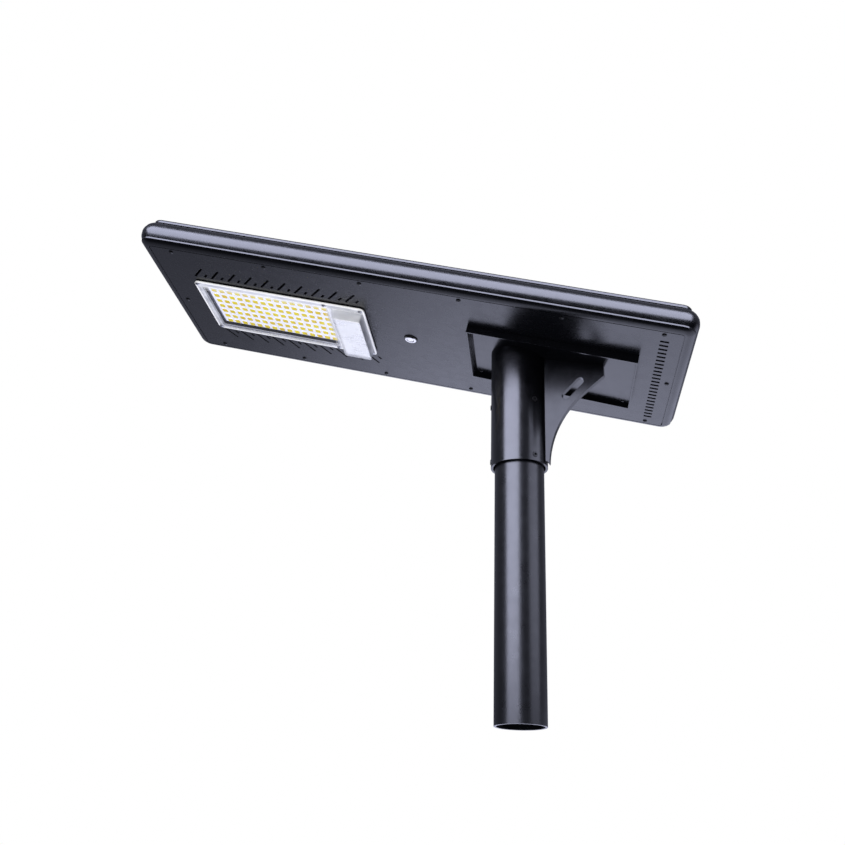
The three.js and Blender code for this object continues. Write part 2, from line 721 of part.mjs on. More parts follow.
function addTray() {
  const outer = [
    [TRAY_X0, TRAY_NEAR_Y],
    [TRAY_X1, TRAY_NEAR_Y],
    [TRAY_X1, TRAY_FAR_Y1],
    [TRAY_X0, TRAY_FAR_Y0],
  ];
  const inner = [
    [TRAY_X0 + TRAY_WALL, TRAY_NEAR_Y + TRAY_WALL],
    [TRAY_X1 - TRAY_WALL, TRAY_NEAR_Y + TRAY_WALL],
    [TRAY_X1 - TRAY_WALL, TRAY_FAR_Y1 - TRAY_WALL],
    [TRAY_X0 + TRAY_WALL, TRAY_FAR_Y0 - TRAY_WALL],
  ];
  const rim = [-TRAY_DEPTH0, -TRAY_DEPTH1, -TRAY_DEPTH1, -TRAY_DEPTH0];
  const body = block(outer, rim, [-GAP, -GAP, -GAP, -GAP]);
  const floors = inner.map(([x]) => -trayFloorDepth(x));
  // The pocket starts below the rim, so its leaning front face runs on past the rim.
  const pocketLow = 2 * TRAY_DEPTH0 - TRAY_FLOOR0;
  const leaning = inner.map(([x, y]) => [x < 0 ? x + TRAY_FRONT_DRAFT : x, y]);
  const runOn = inner.map(([x, y]) => [x < 0 ? x - TRAY_FRONT_DRAFT : x, y]);
  const pocket = block(leaning, inner.map(() => -pocketLow), floors, runOn);
  const holes = trayBoltPlaces().map(({ x, y }) => drum(TRAY_BOLT_SHANK + GAP, -9, 1, { x, y }));
  mesh("mounting_tray", cut(body, [pocket, ...holes]), material.blackPaint(), head);

  for (const { name, x, y } of trayBoltPlaces()) {
    const under = -trayFloorDepth(x) - GAP;
    const bolt = turned(
      [
        [0, under - 1.6],
        [0.7 * TRAY_BOLT_HEAD, under - 1.3],
        [TRAY_BOLT_HEAD, under - 0.5],
        [TRAY_BOLT_HEAD, under],
        [TRAY_BOLT_SHANK, under],
        [TRAY_BOLT_SHANK, 9],
        [0, 9],
      ],
      { x, y },
    );
    mesh(`tray_bolt_${name}`, bolt, material.blackSteel(), head);
    mesh(`tray_nut_${name}`, nut(x, y, PLATE, 4.2, TRAY_BOLT_SHANK + GAP, 3.5), material.zinc(), head);
  }
}

// ---- Sleeve, gusset, set screws and pole ----

/** Everything above the tray floor's lower face, in the lamp's frame. */
function aboveTrayFloor() {
  const reach = 300;
  const corners = [
    [-reach, -reach],
    [reach, -reach],
    [reach, reach],
    [-reach, reach],
  ];
  const lows = corners.map(([x]) => -trayFloorDepth(x) - GAP);
  const cutter = block(corners, lows, [200, 200, 200, 200]);
  return solid(geometryOf(cutter).applyMatrix4(head.matrix));
}

function setScrewPlaces() {
  return SET_SCREW_HEIGHTS.flatMap((z, ringIndex) =>
    [0, 120, 240].map((turn, i) => ({
      name: `set_screw_${ringIndex === 0 ? "lower" : "upper"}_${i + 1}`,
      angle: THREE.MathUtils.degToRad(SET_SCREW_FIRST_ANGLE + turn),
      z,
    })),
  );
}

/** Solid made along +X, turned about Z and lifted to its place on the sleeve. */
function radially(geometry, angle, z) {
  geometry.rotateZ(angle);
  geometry.translate(0, 0, z);
  return solid(geometry);
}

/** Cylinder along +X between two radii from the pole's axis. */
function radialDrum(radius, from, to, steps) {
  const geometry = new THREE.CylinderGeometry(radius, radius, to - from, steps);
  geometry.rotateZ(Math.PI / 2);
  geometry.translate((from + to) / 2, 0, 0);
  return geometry;
}

function addSleeve(ceiling) {
  const tube = drum(SLEEVE_RADIUS, 0, 260, { steps: ROUND_STEPS });
  const bore = drum(SLEEVE_RADIUS - SLEEVE_WALL, -1, 261, { steps: ROUND_STEPS });
  const holes = setScrewPlaces().map(({ angle, z }) =>
    radially(radialDrum(SET_SCREW_RADIUS + GAP, 30, 50, 12), angle, z),
  );
  mesh("sleeve_tube", cut(tube, [bore, ceiling, ...holes]), material.blackPaint(), lamp);

  for (const { name, angle, z } of setScrewPlaces()) {
    const end = SLEEVE_RADIUS + SET_SCREW_PROUD;
    const body = radially(radialDrum(SET_SCREW_RADIUS, SET_SCREW_TIP, end, 12), angle, z);
    const socket = radially(radialDrum(2.3, end - 3.5, end + 1, 6), angle, z);
    mesh(name, body.subtract(socket), material.blackSteel(), lamp);
  }
}

/** Centre of the circle through three points. */
function circleCentre([ax, ay], [bx, by], [cx, cy]) {
  const d = 2 * (ax * (by - cy) + bx * (cy - ay) + cx * (ay - by));
  const a = ax * ax + ay * ay;
  const b = bx * bx + by * by;
  const c = cx * cx + cy * cy;
  return [
    (a * (by - cy) + b * (cy - ay) + c * (ay - by)) / d,
    (a * (cx - bx) + b * (ax - cx) + c * (bx - ax)) / d,
  ];
}

/** Gusset outline, along the plate and up: foot, concave edge, straight run to the back corner, tray. */
function gussetShape() {
  const foot = [49.2, GUSSET_FOOT_Z];
  const waist = [65.3, 65];
  const knee = [107.5, 115.6];
  const back = [GUSSET_BACK, 138.2];
  const [cx, cz] = circleCentre(foot, waist, knee);
  const angleTo = ([x, z]) => Math.atan2(z - cz, x - cx);
  const shape = new THREE.Shape();
  shape.moveTo(0, GUSSET_FOOT_Z);
  shape.lineTo(...foot);
  const radius = Math.hypot(foot[0] - cx, foot[1] - cz);
  shape.absarc(cx, cz, radius, angleTo(foot), angleTo(knee), true);
  shape.lineTo(...back);
  shape.lineTo(GUSSET_BACK, 240);
  shape.lineTo(0, 240);
  shape.closePath();
  return shape;
}

/** Obround slot, slanted up towards the back. */
function gussetSlot() {
  const halfWidth = 6.3;
  const low = new THREE.Vector2(76.8, 112);
  const high = new THREE.Vector2(99.2, 133.6);
  const slant = Math.atan2(high.y - low.y, high.x - low.x);
  const slot = new THREE.Path();
  slot.absarc(high.x, high.y, halfWidth, slant - Math.PI / 2, slant + Math.PI / 2, false);
  slot.absarc(low.x, low.y, halfWidth, slant + Math.PI / 2, slant + 1.5 * Math.PI, false);
  slot.closePath();
  return slot;
}

/** One upright plate, turned a little about the pole, its inner edge on the sleeve's curve. */
function addGusset(ceiling) {
  const shape = gussetShape();
  shape.holes.push(gussetSlot());
  const geometry = new THREE.ExtrudeGeometry(shape, {
    depth: GUSSET,
    curveSegments: 12,
    bevelEnabled: false,
  });
  geometry.rotateX(Math.PI / 2);
  geometry.translate(0, GUSSET - GUSSET_OFFSET, 0);
  const notch = new THREE.CylinderGeometry(4, 4, 3 * GUSSET, 12);
  notch.translate(SLEEVE_RADIUS, -GUSSET_OFFSET, GUSSET_FOOT_Z);
  const plate = geometryOf(solid(geometry).subtract(solid(notch)));
  plate.rotateZ(THREE.MathUtils.degToRad(GUSSET_TURN));
  const sleeve = drum(SLEEVE_RADIUS + GAP, -1, 300, { steps: ROUND_STEPS });
  mesh("gusset", cut(solid(plate), [ceiling, sleeve]), material.blackPaint(), lamp);
}

function addPole() {
  const tube = drum(POLE_RADIUS, -POLE_BELOW_SLEEVE, POLE_INSIDE_SLEEVE, { steps: ROUND_STEPS });
  const bore = drum(POLE_RADIUS - POLE_WALL, -POLE_BELOW_SLEEVE - 1, POLE_INSIDE_SLEEVE + 1, {
    steps: ROUND_STEPS,
  });
  mesh("pole", tube.subtract(bore), material.blackPaint(), lamp);
}

// ---- Assembly ----

const flangeTop = addShell();
addBackPlate();
const cellsLow = addSolarPanel(flangeTop);
addLightCover();
addLightSource();
addButton();
addBattery();
addController();
addCables(cellsLow);
addTray();
const ceiling = aboveTrayFloor();
addSleeve(ceiling);
addGusset(ceiling);
addPole();

export default lamp;
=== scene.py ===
"""Looks for the solar street lamp: materials, small parts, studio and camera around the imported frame."""

import json
import math

import bmesh
import bpy
from mathutils import Matrix, Vector


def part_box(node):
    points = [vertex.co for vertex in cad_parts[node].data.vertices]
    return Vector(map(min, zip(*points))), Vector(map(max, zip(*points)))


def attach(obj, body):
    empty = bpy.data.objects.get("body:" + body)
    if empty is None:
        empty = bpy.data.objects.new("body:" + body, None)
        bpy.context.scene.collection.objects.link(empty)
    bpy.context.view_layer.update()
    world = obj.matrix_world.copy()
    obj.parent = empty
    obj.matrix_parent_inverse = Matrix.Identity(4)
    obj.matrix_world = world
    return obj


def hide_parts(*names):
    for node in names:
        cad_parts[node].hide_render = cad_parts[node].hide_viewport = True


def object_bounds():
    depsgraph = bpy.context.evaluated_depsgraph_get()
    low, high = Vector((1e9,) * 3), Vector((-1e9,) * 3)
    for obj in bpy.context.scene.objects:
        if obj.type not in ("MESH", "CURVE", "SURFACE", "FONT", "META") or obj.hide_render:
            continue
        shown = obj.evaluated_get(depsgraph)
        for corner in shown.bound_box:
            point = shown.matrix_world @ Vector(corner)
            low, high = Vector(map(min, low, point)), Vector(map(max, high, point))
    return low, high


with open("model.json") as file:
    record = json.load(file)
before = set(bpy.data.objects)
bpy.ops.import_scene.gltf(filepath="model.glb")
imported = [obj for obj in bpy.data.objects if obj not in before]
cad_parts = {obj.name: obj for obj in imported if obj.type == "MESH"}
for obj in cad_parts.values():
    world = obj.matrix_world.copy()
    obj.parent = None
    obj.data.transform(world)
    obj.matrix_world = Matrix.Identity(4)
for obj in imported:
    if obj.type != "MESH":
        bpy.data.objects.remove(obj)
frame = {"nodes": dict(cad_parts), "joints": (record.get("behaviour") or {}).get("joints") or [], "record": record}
CAD_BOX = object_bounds()
NODES = frame["nodes"]
JOINTS = {joint["name"]: joint for joint in frame["joints"]}
MM = 0.001
SHARP_EDGE = 30  # degrees between faces, from which an edge of a new piece stays sharp
CAD_SHARP_EDGE = 31
CLEAR_GLOSS = 0.04  # share of light that a clear pane mirrors straight on
FINE_BUMP = 0.00001
PAINT_MOTTLE = 0.12

# ---- The head's own frame ----

POLE_LOW, POLE_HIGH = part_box("pole")
POLE_X = (POLE_LOW.x + POLE_HIGH.x) / 2
HEAD_UP = Vector(JOINTS["button_press"]["axis"]).normalized()
TILT = math.atan2(HEAD_UP.x, HEAD_UP.z)
HEAD_ORIGIN = Vector((POLE_X, 0, 0.5765))
HEAD = Matrix.Translation(HEAD_ORIGIN) @ Matrix.Rotation(TILT, 4, "Y")


def head_box(node):
    """Lowest and highest corner of a CAD node in the head's frame, in metres."""
    inverse = HEAD.inverted()
    points = [inverse @ vertex.co for vertex in NODES[node].data.vertices]
    low = Vector(min(point[i] for point in points) for i in range(3))
    high = Vector(max(point[i] for point in points) for i in range(3))
    return low, high


# ---- Node graphs ----


class Graph:
    """A material's node tree, with short calls to add and join nodes."""

    def __init__(self, name):
        self.material = bpy.data.materials.new(name)
        self.material.use_nodes = True
        self.tree = self.material.node_tree
        self.tree.nodes.clear()
        self.output = self.tree.nodes.new("ShaderNodeOutputMaterial")
        self.coordinates = self.tree.nodes.new("ShaderNodeTexCoord")

    def node(self, kind, values=None, **settings):
        made = self.tree.nodes.new(kind)
        for key, value in settings.items():
            setattr(made, key, value)
        for key, value in (values or {}).items():
            if isinstance(value, bpy.types.NodeSocket):
                self.tree.links.new(value, made.inputs[key])
            else:
                made.inputs[key].default_value = value
        return made

    def place(self):
        """The piece's own coordinates, which follow it through every pose."""
        return self.coordinates.outputs["Object"]

    def head_place(self):
        """The same place in the head's frame: x along it, z up from the plate's underside."""
        turned = self.node(
            "ShaderNodeMapping",
            {"Vector": self.place(), "Location": HEAD_ORIGIN, "Rotation": (0, TILT, 0)},
            vector_type="TEXTURE",
        )
        apart = self.node("ShaderNodeSeparateXYZ", {"Vector": turned.outputs["Vector"]})
        return apart.outputs["X"], apart.outputs["Y"], apart.outputs["Z"]

    def inside(self, x, y, low, high):
        """How far a point lies inside a rectangle between two corners; below 0 outside it."""
        from_left = self.maths("SUBTRACT", x, low[0])
        from_right = self.maths("SUBTRACT", high[0], x)
        from_near = self.maths("SUBTRACT", y, low[1])
        from_far = self.maths("SUBTRACT", high[1], y)
        along = self.maths("MINIMUM", from_left, from_right)
        across = self.maths("MINIMUM", from_near, from_far)
        return self.maths("MINIMUM", along, across)

    def noise(self, scale, detail=3.0, stretch=None):
        vector = self.place()
        if stretch:
            mapping = self.node("ShaderNodeMapping", {"Vector": vector, "Scale": stretch})
            vector = mapping.outputs["Vector"]
        made = self.node("ShaderNodeTexNoise", {"Vector": vector, "Scale": scale, "Detail": detail})
        return made.outputs["Fac"]

    def remap(self, value, low, high, out_low, out_high):
        made = self.node(
            "ShaderNodeMapRange",
            {"Value": value, "From Min": low, "From Max": high, "To Min": out_low, "To Max": out_high},
        )
        return made.outputs["Result"]

    def maths(self, operation, first, second=0.0):
        made = self.node("ShaderNodeMath", {0: first, 1: second}, operation=operation)
        return made.outputs["Value"]

    def blend(self, factor, first, second):
        made = self.tree.nodes.new("ShaderNodeMix")
        made.data_type = "RGBA"
        for index, value in ((0, factor), (6, first), (7, second)):
            if isinstance(value, bpy.types.NodeSocket):
                self.tree.links.new(value, made.inputs[index])
            else:
                made.inputs[index].default_value = value
        return made.outputs[2]

    def bump(self, height, distance):
        made = self.node("ShaderNodeBump", {"Height": height, "Distance": distance, "Strength": 1.0})
        return made.outputs["Normal"]

    def edges(self, radius):
        """0 on flat faces, rising to 1 on edges within radius."""
        bevel = self.node("ShaderNodeBevel", {"Radius": radius}, samples=4)
        normal = self.node("ShaderNodeNewGeometry").outputs["Normal"]
        dot = self.node(
            "ShaderNodeVectorMath",
            {0: bevel.outputs["Normal"], 1: normal},
            operation="DOT_PRODUCT",
        )
        return self.remap(dot.outputs["Value"], 0.995, 0.8, 0.0, 1.0), bevel

    def schlick(self, straight_on):
        """Share of light mirrored by a pane, the same from both of its faces."""
        geometry = self.node("ShaderNodeNewGeometry")
        dot = self.node(
            "ShaderNodeVectorMath",
            {0: geometry.outputs["Incoming"], 1: geometry.outputs["Normal"]},
            operation="DOT_PRODUCT",
        )
        grazing = self.maths("SUBTRACT", 1.0, self.maths("ABSOLUTE", dot.outputs["Value"]))
        rise = self.maths("MULTIPLY", self.maths("POWER", grazing, 5.0), 1 - straight_on)
        return self.maths("ADD", rise, straight_on)

    def finish(self, shader):
        self.tree.links.new(shader, self.output.inputs["Surface"])
        return self.material


def rgb(red, green, blue):
    return (red, green, blue, 1.0)


def shade(color, factor):
    return (color[0] * factor, color[1] * factor, color[2] * factor, 1.0)


def painted(name, color, roughness, edge=0.0005):
    """Smooth powder paint: faint mottling, fine orange peel, edges rubbed a little lighter."""
    graph = Graph(name)
    mottle = graph.noise(14, 4)
    fine = graph.noise(900, 2)
    worn, bevel = graph.edges(edge)
    patchy = graph.noise(220, 3)
    wear = graph.maths("MULTIPLY", worn, graph.remap(patchy, 0.45, 0.75, 0.1, 0.6))
    tone = graph.blend(mottle, shade(color, 1 - PAINT_MOTTLE), shade(color, 1 + PAINT_MOTTLE))
    tone = graph.blend(wear, tone, shade(color, 4))
    rough = graph.remap(graph.noise(60, 4), 0.3, 0.7, roughness * 0.88, roughness * 1.12)
    bump = graph.node(
        "ShaderNodeBump",
        {"Height": fine, "Distance": FINE_BUMP, "Strength": 0.5, "Normal": bevel.outputs["Normal"]},
    )
    shader = graph.node(
        "ShaderNodeBsdfPrincipled",
        {
            "Base Color": tone,
            "Roughness": rough,
            "Normal": bump.outputs["Normal"],
        },
    )
    return graph.finish(shader.outputs["BSDF"])


def metal(name, color, roughness, brushed=(1, 1, 1), edge=0.0003):
    """Bare or plated metal with fine drawn lines and small stains."""
    graph = Graph(name)
    lines = graph.noise(500, 3, brushed)
    stains = graph.noise(40, 5)
    worn, bevel = graph.edges(edge)
    tone = graph.blend(graph.remap(stains, 0.4, 0.8, 0, 1), color, shade(color, 0.8))
    tone = graph.blend(graph.maths("MULTIPLY", worn, 0.5), tone, shade(color, 1.12))
    rough = graph.remap(lines, 0.3, 0.7, roughness * 0.8, roughness * 1.3)
    bump = graph.node(
        "ShaderNodeBump",
        {"Height": lines, "Distance": FINE_BUMP, "Strength": 0.3, "Normal": bevel.outputs["Normal"]},
    )
    shader = graph.node(
        "ShaderNodeBsdfPrincipled",
        {"Base Color": tone, "Roughness": rough, "Metallic": 1.0, "Normal": bump.outputs["Normal"]},
    )
    return graph.finish(shader.outputs["BSDF"])


def moulded(name, color, roughness, grain=0.00002, spread=0.04, painted_glow=0.0):
    """Moulded plastic, rubber or coated board: fine grain, faint flow marks, softened edges, and an optional
    painted glow that makes it shine on its own as if more light fell on it.
    """
    graph = Graph(name)
    flow = graph.noise(25, 4)
    fine = graph.noise(1400, 2)
    worn, bevel = graph.edges(0.0004)
    tone = graph.blend(flow, shade(color, 1 - spread), shade(color, 1 + spread))
    tone = graph.blend(graph.maths("MULTIPLY", worn, 0.35), tone, shade(color, 1.2))
    bump = graph.node(
        "ShaderNodeBump",
        {"Height": fine, "Distance": grain, "Strength": 0.6, "Normal": bevel.outputs["Normal"]},
    )
    shader = graph.node(
        "ShaderNodeBsdfPrincipled",
        {
            "Base Color": tone,
            "Roughness": graph.remap(graph.noise(90, 3), 0.3, 0.7, roughness * 0.9, roughness * 1.1),
            "Normal": bump.outputs["Normal"],
            # painted glow: the surface shines in its own colour by this strength, painted light on a part that is
            # no lamp
            "Emission Color": tone,
            "Emission Strength": painted_glow,
        },
    )
    return graph.finish(shader.outputs["BSDF"])


def see_through(name, tint, haze, haze_color, roughness):
    """Clear pane: mostly transparent, with Fresnel gloss and a little haze that gathers on edges."""
    graph = Graph(name)
    worn, bevel = graph.edges(0.0012)
    smudge = graph.remap(graph.noise(45, 4), 0.35, 0.75, 0.7, 1.3)
    clear = graph.node("ShaderNodeBsdfTransparent", {"Color": tint})
    cloudy = graph.node(
        "ShaderNodeBsdfPrincipled",
        {
            "Base Color": haze_color,
            "Roughness": 0.35,
            "Normal": bevel.outputs["Normal"],
        },
    )
    amount = graph.maths("MULTIPLY", smudge, haze)
    amount = graph.maths("ADD", amount, graph.maths("MULTIPLY", worn, 0.35))
    body = graph.node("ShaderNodeMixShader", {0: amount, 1: clear.outputs[0], 2: cloudy.outputs[0]})
    gloss = graph.node(
        "ShaderNodeBsdfGlossy",
        {"Roughness": graph.remap(smudge, 0.7, 1.3, roughness * 0.8, roughness * 1.4), "Color": rgb(1, 1, 1)},
    )
    shader = graph.node(
        "ShaderNodeMixShader", {0: graph.schlick(CLEAR_GLOSS), 1: body.outputs[0], 2: gloss.outputs[0]}
    )
    return graph.finish(shader.outputs[0])


COVER_GLOSS = 0.25  # the cover's four surfaces lie close together, and would mirror the room four times


def moulded_cover(name):
    """Clear moulding: whitish flange with a lip, a groove and two clear bars, clear field, misty bulge."""
    graph = Graph(name)
    cover_low, cover_high = head_box("light_cover")
    board_low, board_high = head_box("led_board")
    face_low, face_high = head_box("sensor_face")
    x, y, z = graph.head_place()
    rim = graph.inside(x, y, cover_low, cover_high)
    field_low = (board_low.x - 7 * MM, board_low.y - 9 * MM)
    field_high = (board_high.x + 1 * MM, board_high.y + 9 * MM)
    field = graph.inside(x, y, field_low, field_high)
    bulge_low = (face_low.x - 9.3 * MM, face_low.y - 4.2 * MM)
    bulge_high = (cover_high.x - 3 * MM, face_high.y + 4.2 * MM)
    bulge = graph.inside(x, y, bulge_low, bulge_high)
    streaks = graph.remap(graph.noise(70, 5, (0.35, 1.0, 1.0)), 0.35, 0.65, 0.62, 1.0)
    step = 0.0006

    def within(distance, start=0.0):
        return graph.remap(distance, start, start + step, 0.0, 1.0)

    lip = graph.remap(rim, 2.6 * MM, 3.2 * MM, 0.9, 0.0)
    band = graph.maths("MULTIPLY", streaks, 0.74)
    haze = graph.maths("MAXIMUM", band, lip)
    groove_end = graph.remap(rim, 4.6 * MM, 5.2 * MM, 1.0, 0.0)
    groove = graph.maths("MULTIPLY", within(rim, 3.4 * MM), groove_end)
    at_front = graph.remap(x, board_low.x - 4 * MM, board_low.x - 2 * MM, 1.0, 0.0)
    cleared = graph.maths("MULTIPLY", graph.maths("MULTIPLY", groove, at_front), 0.6)
    haze = graph.maths("SUBTRACT", haze, cleared)
    bar_y = (board_high.y + 11.0 * MM, board_high.y + 16.5 * MM)
    length = board_high.x - board_low.x
    for start, end in ((0.02, 0.47), (0.56, 0.9)):
        bar_low = (board_low.x + start * length, bar_y[0])
        bar_high = (board_low.x + end * length, bar_y[1])
        bar = within(graph.inside(x, y, bar_low, bar_high))
        kept = graph.maths("SUBTRACT", 1.0, graph.maths("MULTIPLY", bar, 0.93))
        haze = graph.maths("MULTIPLY", haze, kept)
    field_haze = graph.remap(field, 0.0, 4.5 * MM, 0.78, 0.01)
    haze = graph.node("ShaderNodeMix", {0: within(field), 2: haze, 3: field_haze}).outputs[0]
    depth = graph.remap(z, face_low.z, cover_high.z - 4 * MM, 0.3, 0.44)
    haze = graph.node("ShaderNodeMix", {0: within(bulge), 2: haze, 3: depth}).outputs[0]
    worn, bevel = graph.edges(0.0010)
    haze = graph.maths("MINIMUM", graph.maths("ADD", haze, graph.maths("MULTIPLY", worn, 0.6)), 0.97)
    tone = graph.blend(streaks, rgb(0.52, 0.54, 0.66), rgb(0.82, 0.83, 0.87))
    whitened = graph.maths("MAXIMUM", worn, graph.maths("MULTIPLY", lip, 1.1))
    tone = graph.blend(whitened, tone, rgb(0.95, 0.95, 0.95))
    clear = graph.node("ShaderNodeBsdfTransparent", {"Color": rgb(0.985, 0.985, 0.99)})
    cloudy = graph.node(
        "ShaderNodeBsdfPrincipled",
        {"Base Color": tone, "Roughness": 0.3, "Normal": bevel.outputs["Normal"]},
    )
    body = graph.node("ShaderNodeMixShader", {0: haze, 1: clear.outputs[0], 2: cloudy.outputs[0]})
    gloss = graph.node("ShaderNodeBsdfGlossy", {"Roughness": 0.08, "Color": rgb(1, 1, 1)})
    mirrored = graph.maths("MULTIPLY", graph.schlick(CLEAR_GLOSS), COVER_GLOSS)
    shader = graph.node("ShaderNodeMixShader", {0: mirrored, 1: body.outputs[0], 2: gloss.outputs[0]})
    return graph.finish(shader.outputs[0])


def phosphor(name):
    """LED phosphor: each package a slightly different yellow, as light or dark as its batch, with a faint painted
    glow though no LED is lit.
    """
    graph = Graph(name)
    cells = graph.node(
        "ShaderNodeTexVoronoi", {"Vector": graph.place(), "Scale": 70.0, "Randomness": 1.0}
    )
    drift = graph.node("ShaderNodeSeparateColor", {"Color": cells.outputs["Color"]})
    cloud = graph.noise(300, 3)
    amount = graph.maths("MULTIPLY", drift.outputs[0], graph.remap(cloud, 0.3, 0.7, 0.75, 1.0))
    tone = graph.blend(amount, rgb(0.60, 0.42, 0.006), rgb(0.74, 0.65, 0.003))
    shader = graph.node(
        "ShaderNodeBsdfPrincipled",
        {
            "Base Color": tone,
            "Roughness": 0.35,
            "Normal": graph.bump(cloud, 0.00002),
            # painted glow: the phosphor shines faintly in its own colour, though no LED is lit in this scene
            "Emission Color": tone,
            "Emission Strength": 0.02,
            "Specular IOR Level": 0.15,
        },
    )
    return graph.finish(shader.outputs["BSDF"])


PAINT = rgb(0.0012, 0.0013, 0.0019)
LOOKS = {
    "pole_paint": painted("look_pole_paint", PAINT, 0.3),
    "bracket_paint": painted("look_bracket_paint", PAINT, 0.24),
    "frame_paint": painted("look_frame_paint", PAINT, 0.27),
    "plate_paint": painted("look_plate_paint", PAINT, 0.27),
    "panel_glass": see_through("look_panel_glass", rgb(0.82, 0.87, 0.92), 0.02, rgb(0.2, 0.25, 0.35), 0.03),
    "cells": moulded("look_cells", rgb(0.05, 0.055, 0.07), 0.3, spread=0.1),
    "clear_cover": moulded_cover("look_clear_cover"),
    "rubber": moulded("look_rubber", rgb(0.012, 0.012, 0.013), 0.6, grain=0.00004),
    "white_board": moulded("look_white_board", rgb(0.84, 0.85, 0.95), 0.35),
    "aluminium": metal("look_aluminium", rgb(0.62, 0.63, 0.65), 0.35, (40, 1, 1)),
    # the white plastic gets a painted glow, shining a little on its own though it is no lamp
    "white_plastic": moulded("look_white_plastic", rgb(0.93, 0.935, 0.95), 0.4, painted_glow=0.06),
    "nickel": metal("look_nickel", rgb(0.8, 0.79, 0.76), 0.16),
    "zinc": metal("look_zinc", rgb(0.55, 0.56, 0.58), 0.32),
    "black_steel": painted("look_black_steel", rgb(0.0035, 0.0035, 0.004), 0.38, edge=0.0001),
    "cell_wrap": moulded("look_cell_wrap", rgb(0.02, 0.09, 0.35), 0.3),
    "case_plastic": moulded("look_case_plastic", rgb(0.05, 0.055, 0.06), 0.5),
}
SLOTS = {item["node"]: item["material_slot"] for item in frame["record"]["subparts"]}

# ---- CAD nodes: finish and smooth shading ----


def smooth_by_angle(limit_degrees):
    """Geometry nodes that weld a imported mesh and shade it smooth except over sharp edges."""
    tree = bpy.data.node_groups.new("smooth_by_angle", "GeometryNodeTree")
    tree.interface.new_socket("Geometry", in_out="INPUT", socket_type="NodeSocketGeometry")
    tree.interface.new_socket("Geometry", in_out="OUTPUT", socket_type="NodeSocketGeometry")
    entry = tree.nodes.new("NodeGroupInput")
    leave = tree.nodes.new("NodeGroupOutput")
    bare = tree.nodes.new("GeometryNodeRemoveAttribute")
    bare.inputs["Name"].default_value = "custom_normal"
    weld = tree.nodes.new("GeometryNodeMergeByDistance")
    weld.inputs["Distance"].default_value = 0.000002
    faces = tree.nodes.new("GeometryNodeSetShadeSmooth")
    angle = tree.nodes.new("GeometryNodeInputMeshEdgeAngle")
    flat = tree.nodes.new("FunctionNodeCompare")
    flat.operation = "LESS_THAN"
    flat.inputs[1].default_value = math.radians(limit_degrees)
    edges = tree.nodes.new("GeometryNodeSetShadeSmooth")
    edges.domain = "EDGE"
    join = tree.links.new
    join(entry.outputs[0], bare.inputs["Geometry"])
    join(bare.outputs["Geometry"], weld.inputs["Geometry"])
    join(weld.outputs["Geometry"], faces.inputs["Geometry"])
    join(faces.outputs["Geometry"], edges.inputs["Geometry"])
    join(angle.outputs["Unsigned Angle"], flat.inputs[0])
    join(flat.outputs["Result"], edges.inputs["Shade Smooth"])
    join(edges.outputs["Geometry"], leave.inputs[0])
    return tree


SMOOTHING = smooth_by_angle(CAD_SHARP_EDGE)


def dress(obj, slot):
    obj.data.materials.clear()
    obj.data.materials.append(LOOKS[slot])


for node_name, cad in NODES.items():
    dress(cad, SLOTS[node_name])
    cad.modifiers.new("smooth", "NODES").node_group = SMOOTHING

# ---- New pieces ----


def piece(name, mesh, body, slot, look=None):
    """A new object from a mesh, riding on a body, with its own or its slot's material."""
    obj = bpy.data.objects.new(name, mesh)
    bpy.context.scene.collection.objects.link(obj)
    mesh.materials.clear()
    mesh.materials.append(look or LOOKS[slot])
    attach(obj, body)
    return obj


def mesh_from(name, bm):
    bmesh.ops.recalc_face_normals(bm, faces=bm.faces)
    mesh = bpy.data.meshes.new(name)
    bm.to_mesh(mesh)
    bm.free()
    mesh.shade_smooth()
    mesh.set_sharp_from_angle(angle=math.radians(SHARP_EDGE))
    return mesh


def lathe(bm, profile, steps, matrix):
    """Closed body of revolution about Z, from [radius, z] points that start and end on the axis."""
    low = bm.verts.new(matrix @ Vector((0, 0, profile[0][1])))
    high = bm.verts.new(matrix @ Vector((0, 0, profile[-1][1])))
    rings = []
    for radius, z in profile[1:-1]:
        turn = [2 * math.pi * i / steps for i in range(steps)]
        rings.append(
            [bm.verts.new(matrix @ Vector((radius * math.cos(t), radius * math.sin(t), z))) for t in turn]
        )
    for i in range(steps):
        j = (i + 1) % steps
        bm.faces.new((low, rings[0][j], rings[0][i]))
        bm.faces.new((high, rings[-1][i], rings[-1][j]))
        for lower, upper in zip(rings, rings[1:]):
            bm.faces.new((lower[i], lower[j], upper[j], upper[i]))


def brick(bm, centre, size, chamfer, matrix, top=1.0):
    """Box with chamfered vertical corners and a chamfered upper rim."""
    x, y, z = (value / 2 for value in size)
    outline = [
        (x, y - chamfer), (x - chamfer, y), (chamfer - x, y), (-x, y - chamfer),
        (-x, chamfer - y), (chamfer - x, -y), (x - chamfer, -y), (x, chamfer - y),
    ]
    levels = [(-z, 1.0), (z - chamfer / 2, 1.0), (z, top)]
    loops = []
    for height, scale in levels:
        loops.append(
            [
                bm.verts.new(matrix @ (Vector(centre) + Vector((px * scale, py * scale, height))))
                for px, py in outline
            ]
        )
    count = len(outline)
    for lower, upper in zip(loops, loops[1:]):
        for i in range(count):
            j = (i + 1) % count
            bm.faces.new((lower[i], lower[j], upper[j], upper[i]))
    bm.faces.new(loops[-1])
    bm.faces.new(list(reversed(loops[0])))


